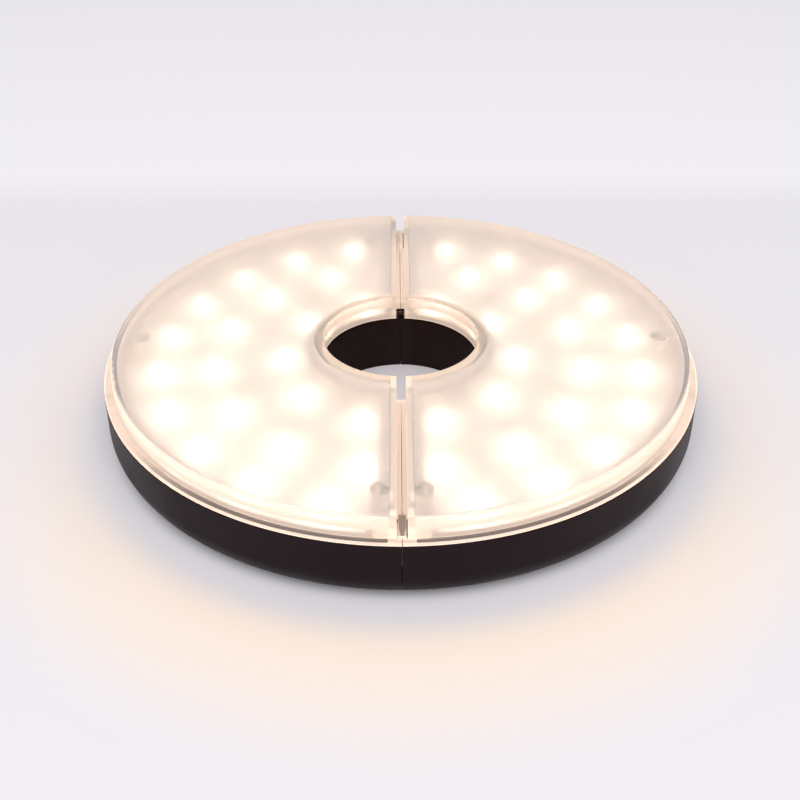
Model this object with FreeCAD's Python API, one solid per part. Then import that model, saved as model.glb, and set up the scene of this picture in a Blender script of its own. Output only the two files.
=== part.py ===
import FreeCAD, Part
import math
import os

from FreeCAD import Vector

# A battery light for the pole of a patio umbrella, lying on its back with the diffusers up.
# Two D-shaped halves are joined by a vertical hinge pin at the rear rim and close round the
# pole. A catch at the front rim holds them shut. Origin: centre of the flat back, on the
# pole's axis. +Z is the way the light shines, -Y is the catch, +Y is the hinge, +X is right.
# All sizes are in millimetres.

# Outline
housing_radius = 95.0
back_rounding = 9.0          # radius between the flat back and the side
rim_chamfer = 0.4
housing_wall = 2.2
housing_floor = 2.2
seam_wall = 2.2              # straight wall of each half along the seam
seam_gap = 0.20              # between the two halves when they are shut
hole_radius = 25.2           # the pole passes here
collar_wall = 2.0
collar_drop = 1.0            # the collar ends this far below the rim

# Pole pads
pad_thickness = 1.8
pad_lip = 0.4                # how far the pad stands proud of the collar
pad_end_gap = 4.5            # from the seam plane to the end of a pad
pad_edge = 1.2               # collar lip above and below a pad

# What the depth of the housing is made of, from the back to the rim
door_recess = 0.3            # the door lies this far in from the back
door_thickness = 1.8
cell_gap = 0.3
cell_diameter = 10.5
roof_thickness = 1.1         # top of the battery box
board_thickness = 1.2
led_height = 1.1
led_depth = 3.5              # from the top of an LED up to the rim

# Diffuser
rim_reveal = 2.7             # from the side of the housing to the side of the diffuser
lens_rise = 7.5              # from the rim to the top face
lens_wall = 2.0
lens_edge_rounding = 1.2
lens_ring_wall = 2.9         # wall round the pole hole
lens_lip = 2.6               # thin brim that covers the housing's rim
lens_lip_thickness = 0.6
slot_width = 2.9             # open slot between the two diffusers
foot_height = 2.2            # solid base frame of the diffuser
foot_inset = 1.8             # how far that frame reaches in past the walls
foot_start = 5.0             # the slot's floor begins this far out from the hole
seat_thickness = 2.0         # ledge in the housing that the frame stands on
skirt_wall = 1.2             # the frame's skirt, which reaches down to the LED board
skirt_gap = 0.25             # from the skirt to the ledge, and down to the board
skirt_boss_gap = 0.4

# LED boards
board_edge_gap = 0.4
board_seam_gap = 1.0
board_hole_gap = 1.2
led_size = 5.0
led_edge_margin = 10.1       # outer ring of LEDs, in from the edge of the board
led_hole_margin = 6.4        # inner ring of LEDs, out from the inner edge of the board
led_middle_share = 0.555     # where the middle ring lies between those two
led_counts = (5, 7, 10)      # in the inner, middle and outer ring of one half
led_spacing = (35.5, 24.1, 16.8)   # degrees
led_turn = (-1.0, -7.2, 1.3)       # degrees that each ring is turned towards the hinge

# Battery boxes
cell_length = 44.5
cell_nub_length = 1.0
cell_nub_radius = 1.9
cell_chamfer = 0.5
cell_side_gap = 0.4
contact_room = 2.4           # at each end of a cell
contact_thickness = 0.4
contact_margin = 2.0
spring_radius = 2.6
box_gap = 2.75               # from the collar to the battery box
box_wall = 2.6
door_overlap = 1.35          # the door covers the edge of the opening
door_gap = 0.3
door_pin_radius = 0.65
door_pin_length = 1.6
door_pin_fit = 0.06
tab_width = 12.0
tab_length = 3.0
tab_grip_depth = 0.5

# Hinge
hinge_inset = 6.8            # from the rim to the pin
pin_radius = 1.25
pin_fit = 0.06
pin_top_gap = 0.6            # from the top of the pin to the rim
bridge_gap = 0.35            # under that bridge, over the right half
bridge_length = 15.0         # the left half's foot covers the pin from here on
knuckle_radius = 4.0
knuckle_gap = 0.35
knuckle_heights = (6.4, 14.0)      # ends of the right half's knuckle
hinge_boss_radius = 9.0
open_angle = 36.0
open_spare_angle = 5.0

# Catch and dowel at the seam
catch_inset = 6.6            # from the rim to the middle of the catch
catch_length = 7.6
catch_depth = 7.6
catch_low = 11.0
catch_gap = 0.5
catch_side_gap = 0.3         # to the walls of the slot
catch_grip_height = 0.8      # the small grip on top of the catch
catch_grip_margin = 0.2      # each side, where the grip is widest
catch_taper = 0.55           # each side, towards the rim
catch_boss_wall = 1.8
tongue_length = 6.2
tongue_width = 5.0
tongue_height = 3.0
tongue_low = 12.6
dowel_radius = 1.15
dowel_low = 5.0
dowel_stand = 0.6            # above the rim
dowel_gap = 0.3
dowel_chamfer = 0.35

# Screws
post_radius = 3.0
post_gap = 0.4
post_x = 10.0
front_post_x = 5.6           # beside the slot, behind the catch
front_post_gap = 0.8         # from the front post to the thick part round the catch
post_hinge_gap = 4.0         # from the screw boss to the hinge boss
rim_post_inset = 11.0
boss_radius = 4.2
boss_height = 7.0
screw_radius = 1.5
screw_head_radius = 2.7
screw_head_height = 1.8
screw_recess = 2.4
screw_length = 10.0
head_gap = 0.35
board_boss_radius = 3.2
board_screw_radius = 1.2
board_screw_head = 2.4
board_screw_head_height = 1.3
board_screw_length = 7.0
board_screw_angle = 50.0

# Power button, on the back of the left half
button_inset = 26.0
button_angle = 228.0
button_radius = 6.0
button_gap = 0.35
button_recess = 0.5
button_flange = 1.4
button_flange_thickness = 1.2
button_travel = 1.0
button_stem_radius = 1.6
button_dish = 0.8
switch_size = 6.2
switch_height = 3.4
switch_clearance = 0.4
control_board_edge = 2.4     # from the middle of a post to the end of the board
control_pole_edge = 4.5      # from the middle of the button to the side by the pole
control_rim_edge = 8.5       # and to the side by the rim
control_thickness = 1.6
control_post_radius = 2.2

# Heights, from the back
door_top = door_recess + door_thickness
cell_low = door_top + cell_gap
cell_top = cell_low + cell_diameter
roof_low = cell_top + cell_gap
board_low = roof_low + roof_thickness
board_top = board_low + board_thickness
led_top = board_top + led_height
rim = led_top + led_depth
lens_top = rim + lens_rise
foot_top = rim + foot_height

# Radii and places in plan
seam = seam_gap / 2
slot = slot_width / 2
pad_outer = hole_radius + pad_thickness
collar_inner = hole_radius + pad_lip
collar_outer = pad_outer + collar_wall
lens_radius = housing_radius - rim_reveal
seat_inner = lens_radius - lens_wall - foot_inset
board_radius = seat_inner - board_edge_gap
skirt_outer = seat_inner - skirt_gap
hinge_y = housing_radius - hinge_inset
catch_y = -(housing_radius - catch_inset)
collar_top = rim - collar_drop
foot_inner = hole_radius + lens_ring_wall + foot_inset
skirt_hole = foot_inner + skirt_gap
skirt_slot = slot + lens_wall + foot_inset + skirt_gap
board_inner = foot_inner + board_hole_gap
post_y = hinge_y - hinge_boss_radius - post_hinge_gap - boss_radius
box_x_low = collar_outer + box_gap + box_wall
box_x_high = box_x_low + 2 * cell_diameter + 3 * cell_side_gap
box_half_length = cell_length / 2 + contact_room
cell_pitch = cell_diameter + cell_side_gap
cell_x = box_x_low + cell_side_gap + cell_diameter / 2
cell_z = cell_low + cell_diameter / 2
rim_post_x = housing_radius - rim_post_inset
front_post_y = catch_y + catch_length / 2 + catch_boss_wall + front_post_gap + post_radius
post_places = ((front_post_x, front_post_y), (post_x, post_y), (rim_post_x, 0.0))
led_outer_ring = board_radius - led_edge_margin
led_inner_ring = board_inner + led_hole_margin
led_middle_ring = led_inner_ring + led_middle_share * (led_outer_ring - led_inner_ring)
led_rings = (led_inner_ring, led_middle_ring, led_outer_ring)
board_screw_at = (led_inner_ring + led_middle_ring) / 2
board_screw_x = board_screw_at * math.cos(math.radians(board_screw_angle))
board_screw_y = board_screw_at * math.sin(math.radians(board_screw_angle))
button_x = (housing_radius - button_inset) * math.cos(math.radians(button_angle))
button_y = (housing_radius - button_inset) * math.sin(math.radians(button_angle))
button_flange_low = housing_floor + button_gap
button_stem_top = button_flange_low + button_flange_thickness + button_travel
switch_low = button_stem_top + button_travel + switch_clearance
control_low = switch_low + switch_height
control_reach = button_radius + button_flange + button_gap + control_post_radius
far = 2 * housing_radius


def box(x_low, x_high, y_low, y_high, z_low, z_high):
    """A block between two corners."""
    corner = Vector(x_low, y_low, z_low)
    return Part.makeBox(x_high - x_low, y_high - y_low, z_high - z_low, corner)


def rod(radius, z_low, z_high, x=0.0, y=0.0):
    """An upright cylinder."""
    return Part.makeCylinder(radius, z_high - z_low, Vector(x, y, z_low))


def ring(inner, outer, z_low, z_high):
    """An upright tube round the pole's axis."""
    return rod(outer, z_low, z_high).cut(rod(inner, z_low - 1, z_high + 1))


def plate(points, z_low, z_high):
    """A flat plate with a straight-sided outline."""
    corners = [Vector(x, y, z_low) for x, y in points]
    face = Part.Face(Part.makePolygon(corners + corners[:1]))
    return face.extrude(Vector(0, 0, z_high - z_low))


def right_of(x_low):
    """Everything to the right of an upright plane."""
    return box(x_low, far, -far, far, -far, far)


def dish(radius, rounding, z_low, z_high):
    """A disc with a rounded lower edge, turned about the pole's axis."""
    flat = radius - rounding
    across = rounding * math.sin(math.radians(45))
    a = Vector(0, 0, z_low)
    b = Vector(flat, 0, z_low)
    c = Vector(flat + across, 0, z_low + rounding - across)
    d = Vector(radius, 0, z_low + rounding)
    e = Vector(radius, 0, z_high)
    f = Vector(0, 0, z_high)
    edges = [Part.makeLine(a, b), Part.Arc(b, c, d).toShape(), Part.makeLine(d, e),
             Part.makeLine(e, f), Part.makeLine(f, a)]
    return Part.Face(Part.Wire(edges)).revolve(Vector(0, 0, 0), Vector(0, 0, 1), 360)


def bowl(radius, corner, z_low, z_high):
    """The room inside a shell, with a sloped lower edge."""
    flat = Part.makeCone(radius - corner, radius, corner, Vector(0, 0, z_low))
    return flat.fuse(rod(radius, z_low + corner, z_high)).removeSplitter()


def mirrored(shape):
    """The same piece on the other side of the seam."""
    return shape.mirror(Vector(0, 0, 0), Vector(1, 0, 0))


def joined(shapes):
    """One solid from pieces that run into each other."""
    return shapes[0].multiFuse(shapes[1:]).removeSplitter()


def save(name, shape):
    """Write one sub-part."""
    shape.exportStep("parts/" + name + ".step")
    print(name, len(shape.Solids), "solid(s)", round(shape.Volume / 1000, 2), "cm3", shape.isValid())


def hinge_relief(z_low, z_high):
    """The wedge behind the pin that lets the right half swing open."""
    reach = 2 * hinge_inset
    flare = reach * math.tan(math.radians((open_angle + open_spare_angle) / 2))
    points = [(-far, hinge_y), (seam, hinge_y), (seam + flare, hinge_y + reach),
              (-far, hinge_y + reach)]
    return plate(points, z_low, z_high)


def hinge_rod(radius, z_low, z_high):
    """A cylinder on the hinge's axis."""
    return rod(radius, z_low, z_high, 0.0, hinge_y)


def battery_box():
    """The walls and the roof round the two cells of the right half."""
    outside = box(box_x_low - box_wall, box_x_high + box_wall,
                  -box_half_length - box_wall, box_half_length + box_wall, 0, board_low)
    inside = box(box_x_low, box_x_high, -box_half_length, box_half_length, -1, roof_low)
    return outside.cut(inside)


def door_outline(gap, z_low, z_high):
    """The door and its snap tab in plan, larger all round by a gap."""
    panel = box(box_x_low - door_overlap - gap, box_x_high + door_overlap + gap,
                -box_half_length - door_overlap - gap, box_half_length + door_overlap + gap,
                z_low, z_high)
    tab_end = box_x_high + door_overlap + tab_length + gap
    tab = box(box_x_high, tab_end, -tab_width / 2 - gap, tab_width / 2 + gap, z_low, z_high)
    return panel.fuse(tab).removeSplitter()


def door_axis():
    """Where the door's pins are: at its inner edge, half-way through its thickness."""
    return box_x_low - door_overlap + door_thickness / 2, door_recess + door_thickness / 2


def catch_boss(gap):
    """The thick part of the rim round the catch, larger inwards by a gap."""
    return box(0, catch_depth + catch_boss_wall + gap,
               catch_y - catch_length, catch_y + catch_length / 2 + catch_boss_wall + gap, 0, rim)


def housing_basics():
    """What the two half shells share, on the right side."""
    outer = dish(housing_radius, back_rounding, 0, rim)
    outer_edge = [e for e in outer.Edges
                  if abs(e.BoundBox.ZMin - rim) < 1e-3 and e.BoundBox.XMax > housing_radius - 1]
    outer = outer.makeChamfer(rim_chamfer, outer_edge)
    cavity = bowl(housing_radius - housing_wall, back_rounding - housing_wall, housing_floor, rim + 1)
    cavity = cavity.cut(rod(collar_outer, -1, rim + 2)).common(right_of(seam + seam_wall))
    shell = outer.cut(cavity)

    seat = ring(seat_inner, housing_radius - housing_wall / 2, rim - seat_thickness, rim)
    hole_seat = ring(collar_inner, foot_inner, collar_top - seat_thickness, rim)
    slot_seat = box(0, slot + lens_wall + foot_inset, -lens_radius, lens_radius,
                    rim - seat_thickness, rim)
    additions = [seat, hole_seat, slot_seat, battery_box()]
    additions.append(hinge_rod(hinge_boss_radius, 0, rim))
    additions.append(catch_boss(0))
    for x, y in post_places:
        additions.append(rod(boss_radius, 0, boss_height, x, y))
    for y in (-board_screw_y, board_screw_y):
        additions.append(rod(board_boss_radius, 0, board_low, board_screw_x, y))
    shell = joined([shell] + [piece.common(outer) for piece in additions])

    cuts = [rod(collar_inner, -1, rim + 1)]
    cuts.append(rod(hole_radius + foot_start, collar_top, rim + 1))
    cuts.append(rod(pad_outer, pad_edge, collar_top - pad_edge).common(right_of(pad_end_gap)))
    cuts.append(door_outline(door_gap, -1, cell_low))
    cuts.append(box(box_x_low, box_x_high, -box_half_length, box_half_length, -1, roof_low))
    axis_x, axis_z = door_axis()
    pin_reach = box_half_length + door_overlap + door_pin_length + door_gap
    cuts.append(Part.makeCylinder(door_pin_radius + door_pin_fit, 2 * pin_reach,
                                  Vector(axis_x, -pin_reach, axis_z), Vector(0, 1, 0)))
    for x, y in post_places:
        cuts.append(rod(post_radius + post_gap, boss_height, rim + 1, x, y))
        cuts.append(rod(screw_radius + head_gap, -1, boss_height + 1, x, y))
        cuts.append(rod(screw_head_radius + head_gap, -1, screw_recess + screw_head_height, x, y))
    for y in (-board_screw_y, board_screw_y):
        low = board_top - board_screw_length
        cuts.append(rod(board_screw_radius, low, rim, board_screw_x, y))
    cuts.append(hinge_relief(-1, rim + 1))
    for cut in cuts:
        shell = shell.cut(cut)
    return shell.common(right_of(seam)), outer


def housing_right():
    """The right half shell with the middle knuckle of the hinge."""
    shell, outer = housing_basics()
    low, high = knuckle_heights
    clear_radius = knuckle_radius + knuckle_gap
    shell = shell.cut(hinge_rod(clear_radius, -1, low))
    shell = shell.cut(hinge_rod(clear_radius, high, rim + 1))
    knuckle = hinge_rod(knuckle_radius, low, high).common(outer)
    shell = shell.fuse(knuckle).cut(hinge_rod(pin_radius + pin_fit, -1, rim + 1))
    pocket = box(-1, catch_depth, catch_y - catch_length / 2 - catch_gap,
                 catch_y + catch_length / 2 + catch_gap, catch_low - catch_gap, rim + 1)
    shell = shell.cut(pocket)
    dowel_notch = rod(dowel_radius + dowel_gap, dowel_low - dowel_gap, rim + 1,
                      0, (collar_inner + collar_outer) / 2)
    return shell.cut(dowel_notch).removeSplitter()


def housing_left():
    """The left half shell with the outer knuckles and the opening for the power button."""
    shell, outer = housing_basics()
    shell = mirrored(shell)
    low, high = knuckle_heights
    shell = shell.cut(hinge_rod(knuckle_radius + knuckle_gap,
                                low - knuckle_gap, high + knuckle_gap))
    lower = hinge_rod(knuckle_radius, 0, low - knuckle_gap).common(outer)
    upper = hinge_rod(knuckle_radius, high + knuckle_gap, rim - knuckle_gap).common(outer)
    shell = shell.multiFuse([lower, upper]).cut(hinge_rod(pin_radius, pin_low(), rim + 1))
    pocket = box(-catch_depth, 1, catch_y - catch_length / 2,
                 catch_y + catch_length / 2, catch_low, rim + 1)
    shell = shell.cut(pocket)
    dowel_seat = rod(dowel_radius, dowel_low, rim + 1, 0, (collar_inner + collar_outer) / 2)
    shell = shell.cut(dowel_seat)
    guide = rod(button_radius + button_gap + housing_wall / 2, 0, housing_floor,
                button_x, button_y)
    posts = [rod(control_post_radius, 0, control_low, x, y) for x, y in control_posts()]
    shell = shell.multiFuse([guide] + posts)
    shell = shell.cut(rod(button_radius + button_gap, -1, housing_floor + 1, button_x, button_y))
    return shell.removeSplitter()


def pin_low():
    """The blind end of the pin's hole."""
    return housing_floor


def skirt(inset, z_low, z_high):
    """The D-shaped room that the skirt goes round, smaller all round by an inset."""
    room = ring(skirt_hole + inset, skirt_outer - inset, z_low, z_high)
    return room.common(right_of(skirt_slot + inset))


def diffuser_basics():
    """The frosted D-shaped pan: top, walls, solid base frame, skirt, brim and screw posts."""
    body = rod(lens_radius, rim, lens_top)
    top_edge = [e for e in body.Edges if abs(e.BoundBox.ZMin - lens_top) < 1e-3]
    body = body.makeFillet(lens_edge_rounding, top_edge)
    body = body.fuse(rod(foot_inner, collar_top, rim))
    body = body.cut(rod(hole_radius, collar_top - 1, lens_top + 1)).common(right_of(slot))
    room = rod(lens_radius - lens_wall, rim - 1, lens_top - lens_wall)
    room = room.cut(rod(hole_radius + lens_ring_wall, rim - 2, lens_top))
    room = room.common(right_of(slot + lens_wall))
    upper_room = room.common(box(0, far, -far, far, foot_top, far))
    body = body.cut(upper_room).fuse(skirt(0, board_top + skirt_gap, foot_top))
    body = body.cut(skirt(skirt_wall, board_top, foot_top + 1))

    brim = ring(lens_radius - lens_wall / 2, lens_radius + lens_lip, rim, rim + lens_lip_thickness)
    brim = brim.common(right_of(seam))
    brim = brim.cut(box(-1, slot, -lens_radius - catch_side_gap, 0, rim - 1, lens_top))
    pieces = [body, brim]
    for x, y in post_places:
        pieces.append(rod(post_radius, boss_height, lens_top - lens_wall / 2, x, y))
    lens = joined(pieces)
    for x, y in post_places:
        lens = lens.cut(rod(screw_radius, boss_height - 1, screw_recess + screw_head_height
                            + screw_length + 0.5, x, y))
    lens = lens.cut(hinge_rod(hinge_boss_radius + skirt_boss_gap, 0, rim))
    lens = lens.cut(catch_boss(skirt_boss_gap))
    return lens.cut(hinge_relief(rim - 1, lens_top + 1))


def slot_floor(x_low, x_high, y_low, y_high):
    """Part of the slot's floor, which runs from the hole to the rim."""
    floor = rod(lens_radius, rim, foot_top)
    floor = floor.cut(rod(hole_radius + foot_start, rim - 1, foot_top + 1))
    return floor.common(box(x_low, x_high, y_low, y_high, rim, foot_top))


def diffuser_right():
    """The right diffuser; its floor stops short of the left one's bridge over the pin."""
    front = catch_y + catch_length / 2 + catch_gap
    back = hinge_y - bridge_length
    floor = slot_floor(seam, slot + 1, front, back)
    return joined([diffuser_basics(), floor]).cut(hinge_relief(rim - 1, lens_top + 1))


def diffuser_left():
    """The left diffuser, whose floor bridges the slot over the hinge pin."""
    front = catch_y + catch_length / 2 + catch_gap
    back = hinge_y - bridge_length
    floor = mirrored(slot_floor(seam, slot + 1, front, hinge_y))
    reach = slot - catch_side_gap
    bridge = box(-slot - 1, reach, back + catch_gap, hinge_y, rim + bridge_gap, foot_top)
    end = hinge_rod(reach, rim + bridge_gap, foot_top)
    return joined([mirrored(diffuser_basics()), floor, bridge, end])


def led_board_right():
    """The white board, cut to clear the hinge, the catch and the diffuser's posts."""
    board = ring(board_inner, board_radius, board_low, board_top)
    board = board.common(right_of(slot + lens_wall + foot_inset + board_seam_gap))
    board = board.cut(hinge_rod(hinge_boss_radius + board_edge_gap, 0, rim))
    board = board.cut(catch_boss(board_edge_gap))
    for x, y in post_places:
        board = board.cut(rod(post_radius + post_gap, 0, rim, x, y))
    for y in (-board_screw_y, board_screw_y):
        board = board.cut(rod(board_screw_radius, 0, rim, board_screw_x, y))
    return board


def leds_right():
    """The LED packages of one half, in three rings, each turned towards the pole."""
    package = box(-led_size / 2, led_size / 2, -led_size / 2, led_size / 2, board_top, led_top)
    leds = []
    for radius, count, spacing, turn in zip(led_rings, led_counts, led_spacing, led_turn):
        for index in range(count):
            angle = spacing * (index - (count - 1) / 2) + turn
            led = package.copy()
            led.translate(Vector(radius, 0, 0))
            led.rotate(Vector(0, 0, 0), Vector(0, 0, 1), angle)
            leds.append(led)
    return Part.makeCompound(leds)


def pole_pad_right():
    """The rubber pad that grips the pole, let into the collar."""
    pad = ring(hole_radius, pad_outer, pad_edge, collar_top - pad_edge)
    return pad.common(right_of(pad_end_gap))


def cell(x, towards):
    """One AAA cell; its nub points along Y to +1 or -1."""
    body_length = cell_length - cell_nub_length
    start = -towards * cell_length / 2
    way = Vector(0, towards, 0)
    can = Part.makeCylinder(cell_diameter / 2, body_length, Vector(x, start, cell_z), way)
    can_edges = [e for e in can.Edges if e.Closed]
    can = can.makeChamfer(cell_chamfer, can_edges)
    nub_start = start + towards * body_length
    nub = Part.makeCylinder(cell_nub_radius, cell_nub_length, Vector(x, nub_start, cell_z), way)
    return can.fuse(nub)


def cell_contacts_right():
    """The plates at both ends of the cells, with a spring at each flat end."""
    end = box_half_length
    height_low = cell_z - cell_diameter / 2 + contact_margin
    height_high = cell_z + cell_diameter / 2 - contact_margin
    first = cell_x
    second = cell_x + cell_pitch
    half = cell_diameter / 2 - contact_margin
    bridge = box(first - half, second + half, -end, -end + contact_thickness,
                 height_low, height_high)
    plates = [bridge]
    for x in (first, second):
        plates.append(box(x - half, x + half, end - contact_thickness, end,
                          height_low, height_high))
    springs = []
    for x, side in ((first, -1), (second, 1)):
        base = Vector(x, side * (end - contact_thickness), cell_z)
        springs.append(Part.makeCone(spring_radius, spring_radius * 0.6,
                                     contact_room - contact_thickness, base,
                                     Vector(0, -side, 0)))
    first_pair = plates[0].fuse(springs[0])
    second_pair = plates[2].fuse(springs[1])
    return Part.makeCompound([first_pair, plates[1], second_pair])


def battery_door_right():
    """The battery door: a round-edged panel on two pins, with a snap tab at the free edge."""
    panel = door_outline(0.0, door_recess, door_top)
    axis_x, axis_z = door_axis()
    half = box_half_length + door_overlap
    nose = box(axis_x - door_thickness, axis_x, -half - 1, half + 1, door_recess - 1, door_top + 1)
    panel = panel.cut(nose)
    edge = Part.makeCylinder(door_thickness / 2, 2 * half,
                             Vector(axis_x, -half, axis_z), Vector(0, 1, 0))
    reach = half + door_pin_length
    pins = Part.makeCylinder(door_pin_radius, 2 * reach,
                             Vector(axis_x, -reach, axis_z), Vector(0, 1, 0))
    door = panel.multiFuse([edge, pins]).removeSplitter()
    grip_x = box_x_high + door_overlap - 2.0
    for index in range(3):
        x = grip_x - index * 3.0
        door = door.cut(box(x - 0.6, x + 0.6, -tab_width / 2, tab_width / 2,
                            door_recess - 1, door_recess + tab_grip_depth))
    return door.removeSplitter()


def screw(head_low, radius, head_radius, head_height, length, x, y):
    """A screw driven upwards, with its head below."""
    head = rod(head_radius, head_low, head_low + head_height, x, y)
    shank = rod(radius, head_low + head_height, head_low + head_height + length, x, y)
    return head.fuse(shank)


def housing_screws_right():
    """The screws that go up through the back into the diffuser's posts."""
    return Part.makeCompound([screw(screw_recess, screw_radius, screw_head_radius,
                                    screw_head_height, screw_length, x, y)
                              for x, y in post_places])


def board_screws_right():
    """The screws that hold the LED board down on its two bosses."""
    screws = []
    for y in (-board_screw_y, board_screw_y):
        head = rod(board_screw_head, board_top, board_top + board_screw_head_height,
                   board_screw_x, y)
        shank = rod(board_screw_radius, board_top - board_screw_length, board_top,
                    board_screw_x, y)
        screws.append(head.fuse(shank))
    return Part.makeCompound(screws)


def hinge_pin():
    """The steel pin, pressed into the left knuckles and free in the right one."""
    pin = hinge_rod(pin_radius, pin_low(), rim - pin_top_gap)
    ends = [e for e in pin.Edges if e.Closed]
    return pin.makeChamfer(0.3, ends)


def catch():
    """The front catch: its foot in the left half, its tongue in the right half's pocket."""
    back = catch_y + catch_length / 2
    front = catch_y - catch_length / 2
    foot = box(-catch_depth, slot - catch_gap, front, back, catch_low, rim - 0.6)
    tongue = box(0, tongue_length, catch_y - tongue_width / 2, catch_y + tongue_width / 2,
                 tongue_low, tongue_low + tongue_height)
    nose = [e for e in tongue.Edges
            if abs(e.BoundBox.XMin - tongue_length) < 1e-3 and e.BoundBox.ZLength > 1]
    tongue = tongue.makeFillet(tongue_width / 4, nose)
    side = slot - catch_side_gap
    grip_top = foot_top - 0.2
    grip_low = grip_top - catch_grip_height
    key = box(-side, side, front, back, rim - 1.6, grip_low)
    wide = side - catch_grip_margin
    narrow = wide - catch_taper
    grip = plate([(-wide, back), (wide, back), (wide, catch_y), (narrow, front), (-narrow, front),
                  (-wide, catch_y)], grip_low - 0.5, grip_top)
    return joined([foot, tongue, key, grip])


def dowel():
    """The pin that lines the two collars up, seated in the left half."""
    pin = rod(dowel_radius, dowel_low, rim + dowel_stand, 0, (collar_inner + collar_outer) / 2)
    top = [e for e in pin.Edges if e.Closed and e.BoundBox.ZMin > rim]
    return pin.makeChamfer(dowel_chamfer, top)


def power_button():
    """The round push button with its dished face, inner flange and stem."""
    cap = rod(button_radius, button_recess, button_flange_low, button_x, button_y)
    dish_radius = button_radius * button_radius / (2 * button_dish) + button_dish / 2
    ball = Part.makeSphere(dish_radius, Vector(button_x, button_y,
                                               button_recess + button_dish - dish_radius))
    cap = cap.cut(ball)
    flange = rod(button_radius + button_flange, button_flange_low,
                 button_flange_low + button_flange_thickness, button_x, button_y)
    stem = rod(button_stem_radius, button_flange_low, button_stem_top, button_x, button_y)
    return joined([cap, flange, stem])


def power_switch():
    """The switch that the button's stem presses."""
    half = switch_size / 2
    return box(button_x - half, button_x + half, button_y - half, button_y + half,
               switch_low, control_low)


def control_posts():
    """Where the control board stands on the left half's floor."""
    return ((button_x - control_reach, button_y), (button_x + control_reach, button_y))


def control_board():
    """The small board that carries the switch."""
    half = control_reach + control_board_edge
    return box(button_x - half, button_x + half,
               button_y - control_rim_edge, button_y + control_pole_edge,
               control_low, control_low + control_thickness)


def main():
    os.makedirs("parts", exist_ok=True)
    save("housing_right", housing_right())
    save("housing_left", housing_left())
    save("diffuser_right", diffuser_right())
    save("diffuser_left", diffuser_left())
    for name, piece in (("led_board", led_board_right()),
                        ("leds", leds_right()), ("pole_pad", pole_pad_right()),
                        ("cell_contacts", cell_contacts_right()),
                        ("battery_door", battery_door_right()),
                        ("housing_screws", housing_screws_right()),
                        ("board_screws", board_screws_right()),
                        ("cell_inner", cell(cell_x, 1)),
                        ("cell_outer", cell(cell_x + cell_pitch, -1))):
        save(name + "_right", piece)
        save(name + "_left", mirrored(piece))
    save("hinge_pin", hinge_pin())
    save("catch", catch())
    save("dowel", dowel())
    save("power_button", power_button())
    save("power_switch", power_switch())
    save("control_board", control_board())


main()
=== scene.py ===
# %% [markdown]
# # A patio umbrella light
# The light is a battery-powered ring that closes round the pole of a patio umbrella. Its two
# D-shaped halves turn on a pin at the rear rim, and a catch at the front holds them shut. Here
# it lies on its back and shines up. The solids come from the CAD model. This lesson gives them
# their finishes and makes what repeats in finer detail: the windows of the LEDs, the screws
# and the battery springs. Then it sets the floor, the light and the camera.

# %% Load the frame
import math

import bmesh
import bpy
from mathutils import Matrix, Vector


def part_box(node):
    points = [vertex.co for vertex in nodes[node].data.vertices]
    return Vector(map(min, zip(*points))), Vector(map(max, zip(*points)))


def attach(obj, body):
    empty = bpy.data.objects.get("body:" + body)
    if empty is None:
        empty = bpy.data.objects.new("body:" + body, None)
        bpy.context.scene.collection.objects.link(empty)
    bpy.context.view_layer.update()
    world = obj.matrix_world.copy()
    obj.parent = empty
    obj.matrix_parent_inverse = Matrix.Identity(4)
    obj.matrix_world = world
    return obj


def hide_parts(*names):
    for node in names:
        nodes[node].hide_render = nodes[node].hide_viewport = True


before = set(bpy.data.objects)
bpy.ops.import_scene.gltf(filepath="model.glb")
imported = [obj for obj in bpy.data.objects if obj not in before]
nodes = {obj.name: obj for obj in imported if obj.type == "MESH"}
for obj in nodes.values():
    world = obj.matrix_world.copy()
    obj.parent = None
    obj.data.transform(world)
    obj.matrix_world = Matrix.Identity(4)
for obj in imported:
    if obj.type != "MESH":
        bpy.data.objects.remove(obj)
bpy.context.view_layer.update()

both = ("left", "right")
print("pieces from CAD:", len(nodes))

# %% [markdown]
# ## Helpers for materials
# Every finish is a node tree round one Principled shader. Patterns read Object coordinates,
# which are metres from the middle of the back, so a noise with a scale of 1000 has grains of
# about a millimetre. Because all pieces share that origin, a pattern runs on from one piece to
# the next, as it does on parts that are moulded from one batch.

# %% Make a finish
def new_finish(name):
    """A material with one Principled shader; gives the material, its tree and the shader."""
    material = bpy.data.materials.new(name)
    material.use_nodes = True
    tree = material.node_tree
    tree.nodes.clear()
    output = tree.nodes.new("ShaderNodeOutputMaterial")
    shader = tree.nodes.new("ShaderNodeBsdfPrincipled")
    tree.links.new(shader.outputs["BSDF"], output.inputs["Surface"])
    return material, tree, shader


def place_axes(tree):
    """The Object coordinates of a tree, split into x, y and z."""
    place = tree.nodes.new("ShaderNodeTexCoord")
    split = tree.nodes.new("ShaderNodeSeparateXYZ")
    tree.links.new(place.outputs["Object"], split.inputs["Vector"])
    return split.outputs["X"], split.outputs["Y"], split.outputs["Z"]


def noise(tree, scale, detail=3.0):
    """Noise on the piece's Object coordinates; gives its 0 to 1 output."""
    place = tree.nodes.new("ShaderNodeTexCoord")
    pattern = tree.nodes.new("ShaderNodeTexNoise")
    pattern.inputs["Scale"].default_value = scale
    pattern.inputs["Detail"].default_value = detail
    tree.links.new(place.outputs["Object"], pattern.inputs["Vector"])
    return pattern.outputs["Fac"]


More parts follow.
